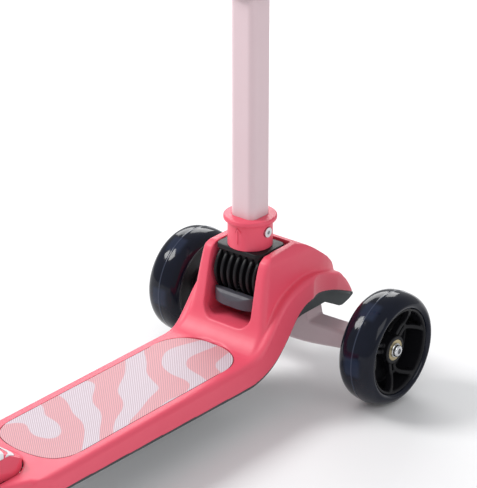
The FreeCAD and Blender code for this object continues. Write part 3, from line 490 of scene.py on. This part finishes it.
navy = Finish("clear_navy_tyre", Roughness=0.1, Specular_IOR_Level=0.22)
hub_place = navy.node("ShaderNodeMapping", values={"Vector": navy.place,
                                                   "Location": (0, -FRONT_AXLE_Y, -0.06)})
x_hub, y_hub, z_hub = navy.axes(hub_place)
around = navy.node("ShaderNodeMath", {"operation": "ARCTAN2"}, [z_hub, y_hub])
lamps = navy.node("ShaderNodeMath", {"operation": "COSINE"}, [around * 6.0]).above(0.55, 0.25)
middle = 1.0 - (x_hub.size() - 0.128).size().above(0.009, 0.003)
body_tone = navy.mix(navy.noise(25.0), tone(10, 13, 24), tone(20, 25, 40))
shown = navy.mix(lamps * middle * 0.7, body_tone, tone(40, 49, 70))
seam = 1.0 - (x_hub.size() - 0.128).size().above(0.0006, 0.0005)
navy.feed("Base Color", navy.mix(seam * 0.6, shown, tone(70, 78, 96)))
navy.feed("Roughness", 0.06 + 0.08 * navy.noise(70.0))
navy.relief(navy.noise(40.0), 0.0003, 0.06)

black = Finish("black_nylon", Roughness=0.42, Specular_IOR_Level=0.22)
black.feed("Base Color", black.mix(black.noise(40.0), tone(15, 15, 18), tone(24, 24, 28)))
black.feed("Roughness", 0.34 + 0.2 * black.noise(120.0))
black.relief(black.noise(2200.0), 0.00004, 0.5)

bm = bmesh.new()
spun(bm, tyre_profile(60.0, 21.0, HUB_R), 120, (128.0, 0, 60.0))
place(bm)
left_tyre = piece_from("front_tyre_left", bm)
fit(left_tyre, "wheel_left", navy, ["front_left_tyre"], 50)
right_tyre = mirrored_piece("front_tyre_right", left_tyre)
fit(right_tyre, "wheel_right", navy, ["front_right_tyre"], 50)

bm = bmesh.new()
spun(bm, [(-18, 46), (-18, 43.5), (-16.5, 42.5), (16, 42.5), (18.2, 43.6), (18.2, 45.6),
          (17.4, 46)], 96, (128.0, 0, 60.0))
spun(bm, [(-12, 15), (-12, 11), (-5, 11), (-5, 6), (5, 6), (5, 11), (12, 11), (12, 14.2),
          (11.2, 15)], 64, (128.0, 0, 60.0))
spun(bm, [(-9, 13), (-6, 13), (-6, 43.5), (-9, 43.5)], 96, (128.0, 0, 60.0))
BRANCH = smooth_line([(12, 3.3), (20, 3.3), (27, 3.6), (31, 6), (35, 12), (38.5, 20), (38, 26)], 3)
for turn in (20, 140, 260):
    for way in (1, -1):
        rings = []
        for k, (r, s) in enumerate(BRANCH):
            ahead = BRANCH[min(k + 1, len(BRANCH) - 1)]
            behind = BRANCH[max(k - 1, 0)]
            run = Vector((ahead[0] - behind[0], ahead[1] - behind[1])).normalized()
            rise = min(max((math.hypot(r, s) - 24) / 20, 0), 1)
            face = 128.0 + 7.0 + 10.0 * rise * rise * (3 - 2 * rise)
            ring = []
            for across, deep in ((-2.3, 1), (-1.5, 0), (1.5, 0), (2.3, 1), (2.3, 8), (-2.3, 8)):
                ring.append((face - deep, r - run.y * across, (s + run.x * across) * way))
            rings.append(ring)
        spin = Matrix.Rotation(math.radians(turn), 4, "X")
        rings = [[Vector((0, 0, 60)) + spin @ Vector(spot) for spot in ring] for ring in rings]
        loft(bm, rings)
    web = bmesh.ops.create_cube(bm, size=1.0)["verts"]
    bmesh.ops.scale(bm, verts=web, vec=(7, 3.4, 7))
    bmesh.ops.translate(bm, verts=web, vec=(128 + 3.6, 29.5, 0))
    bmesh.ops.rotate(bm, verts=web, cent=(0, 0, 0), matrix=spin.to_3x3())
    bmesh.ops.translate(bm, verts=web, vec=(0, 0, 60))
place(bm)
left_hub = piece_from("front_hub_left", bm)
round_edges(left_hub, 0.65, 3, 0.6)
fit(left_hub, "wheel_left", black, ["front_left_hub"])
right_hub = mirrored_piece("front_hub_right", left_hub)
fit(right_hub, "wheel_right", black, ["front_right_hub"])

brass = metal("bearing_steel", (190, 176, 140), (150, 138, 108), 0.3)
paint(brass, "front_left_bearings", "front_right_bearings", "rear_bearings")
bm = bmesh.new()
SEAT = 12.1  # where the washer under the bolt's head sits, out from the wheel's middle
bolt = [(-27, 0.5), (-27, 4.0), (SEAT, 4.0), (SEAT, 7.5), (SEAT + 0.9, 7.5), (SEAT + 1.2, 7.2),
        (SEAT + 1.2, 6.5), (SEAT + 3.4, 6.4), (SEAT + 4.3, 5.7), (SEAT + 4.8, 4.4),
        (SEAT + 4.8, 2.9), (SEAT + 1.6, 2.9), (SEAT + 1.6, 0.5)]
spun(bm, bolt, 48, (128.0, 0, 60.0))
place(bm)
left_bolt = piece_from("front_bolt_left", bm)
fit(left_bolt, "truck", bright, ["front_left_axle_bolt"], 40)
right_bolt = mirrored_piece("front_bolt_right", left_bolt)
fit(right_bolt, "truck", bright, ["front_right_axle_bolt"], 40)
lit = Finish("lamp_module", Roughness=0.3)
lit.feed("Base Color", lit.mix(lit.noise(200.0), tone(190, 196, 205), tone(160, 166, 178)))
paint(lit, "front_left_lights", "front_right_lights")

# ---- rear wheel: the same clear tyre on a small black hub -----------------------------------
# A solid 80 mm wheel that runs between the deck's two rear arms.
rear_low, rear_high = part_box("rear_tyre")
rear_y = ((rear_low.y + rear_high.y) / 2 - FRONT_AXLE_Y) * 1000
bm = bmesh.new()
spun(bm, tyre_profile(40.0, 17.0, 28.0), 96, (0.0, rear_y, 40.0))
place(bm)
rear_tyre = piece_from("rear_tyre_cast", bm)
rear_navy = Finish("clear_navy_rear_tyre", Roughness=0.1, Specular_IOR_Level=0.22)
rear_navy.feed("Base Color", rear_navy.mix(rear_navy.noise(30.0), tone(10, 13, 24),
                                           tone(20, 25, 40)))
rear_navy.feed("Roughness", 0.06 + 0.08 * rear_navy.noise(70.0))
rear_navy.relief(rear_navy.noise(40.0), 0.0003, 0.06)
fit(rear_tyre, "wheel_rear", rear_navy, ["rear_tyre"], 50)
rear_hub = cad_copy("rear_hub_moulding", "rear_hub")
round_edges(rear_hub, 0.6, 3)
fit(rear_hub, "wheel_rear", black, ["rear_hub"])

# ---- brake pedal: a pink guard over the rear wheel with three pale crescents ----------------
# Pressed down by the heel, it turns about a pin under the deck; the crescents are soft inlays.
pedal = cad_copy("brake_guard", "brake_pedal")
round_edges(pedal, 0.6, 3)
fit(pedal, "brake", pink, ["brake_pedal"])
pale = Finish("pale_inlay", Roughness=0.6)
pale.feed("Base Color", pale.mix(pale.noise(90.0), tone(222, 219, 224), tone(234, 231, 235)))
pale.relief(pale.noise(1600.0), 0.00006, 0.6)
paint(pale, "brake_grips")
paint(rubber, "brake_pad")

# ---- fold drum, release button --------------------------------------------------------------
# A ribbed black nylon barrel turns in the tower's slot; the grey button under it frees the fold.
FOLD_Y, FOLD_Z = 62.0, 132.0
bm = bmesh.new()
barrel = [(-28.5, 21.0)]
for k in range(7):
    middle_x = (k - 3) * 8.3
    barrel += [(middle_x - 2.0, 21.0), (middle_x - 1.7, 25.6), (middle_x - 0.9, 26.4),
               (middle_x + 0.9, 26.4), (middle_x + 1.7, 25.6), (middle_x + 2.0, 21.0)]
barrel += [(28.5, 21.0), (28.5, 4.1), (-28.5, 4.1)]
spun(bm, barrel, 96, (0.0, FOLD_Y, FOLD_Z))


def rounded_block(bm, low, high, upright, edge):
    """A block with rounded upright corners and a small radius on every other edge."""
    verts = bmesh.ops.create_cube(bm, size=1.0)["verts"]
    middle = (Vector(low) + Vector(high)) / 2
    bmesh.ops.scale(bm, verts=verts, vec=Vector(high) - Vector(low))
    bmesh.ops.translate(bm, verts=verts, vec=middle)
    own = {e for v in verts for e in v.link_edges}
    tall = [e for e in own if abs((e.verts[0].co - e.verts[1].co).z) > 0.001]
    bent = bmesh.ops.bevel(bm, geom=tall, offset=upright, segments=6, profile=0.5,
                           affect="EDGES", material=-1)
    faces = {f for v in bent["verts"] for f in v.link_faces}
    rims = [e for f in faces for e in f.edges
            if abs(e.verts[0].co.z - e.verts[1].co.z) < 0.001 and abs(e.calc_face_angle(0)) > 1.2]
    bmesh.ops.bevel(bm, geom=list(set(rims)), offset=edge, segments=3, profile=0.5,
                    affect="EDGES", material=-1)


rounded_block(bm, (-29, 39, 155.5), (29, 83.5, 161), 7.0, 1.2)
rounded_block(bm, (-27, 42, 134), (27, 78, 157), 5.0, 1.0)
place(bm)
drum = piece_from("ribbed_fold_drum", bm)
fit(drum, "stem", black, ["fold_drum"], 40)

button = cad_copy("fold_release_button", "release_button")
round_edges(button, 0.45, 2)
grey = Finish("button_plastic", Roughness=0.5)
grey.feed("Base Color", grey.mix(grey.noise(60.0), tone(66, 65, 73), tone(78, 77, 86)))
grey.feed("Roughness", 0.42 + 0.16 * grey.noise(150.0))
grey.relief(grey.noise(2000.0), 0.00005, 0.6)
fit(button, "release", grey, ["release_button"])

# ---- collar: a pink ring that ties the stem to the fold drum --------------------------------
# Moulded with a flange on top and a raised arrow at the back, held by one bright socket bolt.
collar = cad_copy("stem_collar", "collar")
round_edges(collar, 0.55, 3, 0.7)
fit(collar, "stem", pink, ["collar"])
bm = bmesh.new()
for low, high, lean in (((-0.7, -0.5, -8.5), (0.7, 0.5, 8.5), 0),
                        ((-0.7, -0.5, -2.9), (0.7, 0.5, 2.9), 38),
                        ((-0.7, -0.5, -2.9), (0.7, 0.5, 2.9), -38)):
    bar = bmesh.ops.create_cube(bm, size=1.0)["verts"]
    bmesh.ops.scale(bm, verts=bar, vec=Vector(high) - Vector(low))
    if lean:
        turn = Matrix.Rotation(math.radians(lean), 3, "Y")
        bmesh.ops.rotate(bm, verts=bar, cent=(0, 0, 0), matrix=turn)
        bmesh.ops.translate(bm, verts=bar, vec=(-math.copysign(1.75, lean), 0, 6.3))
    bmesh.ops.translate(bm, verts=bar, vec=(-2.0, FOLD_Y + 23.0, 176.5))
bmesh.ops.bevel(bm, geom=bm.edges[:], offset=0.18, segments=2, profile=0.5,
                affect="EDGES", material=-1)
place(bm)
arrow = piece_from("collar_arrow", bm)
fit(arrow, "stem", pink, [])
paint(bright, "collar_bolt")

# ---- stem: lower tube, height clamp and upper tube ------------------------------------------
# Rounded-square aluminium tube in pale pink powder coat; the black clamp closes with a lever.
paint(stem_paint, "lower_tube", "upper_tube", "handlebar")
paint(black, "tube_plug")
clamp = cad_copy("height_clamp_casting", "height_clamp")
round_edges(clamp, 0.6, 3)
fit(clamp, "stem", black, ["height_clamp"])
lever = cad_copy("clamp_lever_casting", "clamp_lever")
round_edges(lever, 0.5, 3)
satin = metal("satin_aluminium", (196, 198, 201), (172, 174, 178), 0.38)
fit(lever, "clamp_handle", satin, ["clamp_lever"])

# ---- handlebar: a T joint, the bar and two grips --------------------------------------------
# The joint is moulded in pink; the grips are soft black rubber with rings for the fingers.
joint = cad_copy("handlebar_tee", "handlebar_joint")
round_edges(joint, 0.7, 4)
fit(joint, "mast", pink, ["handlebar_joint"])
grip_rubber = Finish("grip_rubber", Roughness=0.7)
grip_rubber.feed("Base Color", grip_rubber.mix(grip_rubber.noise(70.0), tone(50, 50, 56),
                                               tone(64, 64, 70)))
grip_rubber.relief(grip_rubber.noise(1500.0), 0.00008, 0.7)
BAR_Z = 680.0
bm = bmesh.new()
profile = [(34, 11.05), (34, 18.4), (35, 19.8), (37, 19.8), (38.5, 18.4), (40.5, 15.6)]
for k in range(12):
    ring_x = 46.0 + 7.0 * k
    profile += [(ring_x - 2.6, 15.0), (ring_x - 1.6, 14.0),
                (ring_x + 1.6, 14.0), (ring_x + 2.6, 15.0)]
profile += [(130, 15.6), (131.5, 17.6), (133, 18.0), (136.6, 18.0), (138, 16.6), (138, 0.5),
            (135.1, 0.5), (135.1, 11.05)]
spun(bm, profile, 64, (0.0, FOLD_Y, BAR_Z))
place(bm)
left_grip = piece_from("grip_sleeve_left", bm)
fit(left_grip, "mast", grip_rubber, ["grip_left"], 45)
right_grip = mirrored_piece("grip_sleeve_right", left_grip)
fit(right_grip, "mast", grip_rubber, ["grip_right"], 45)
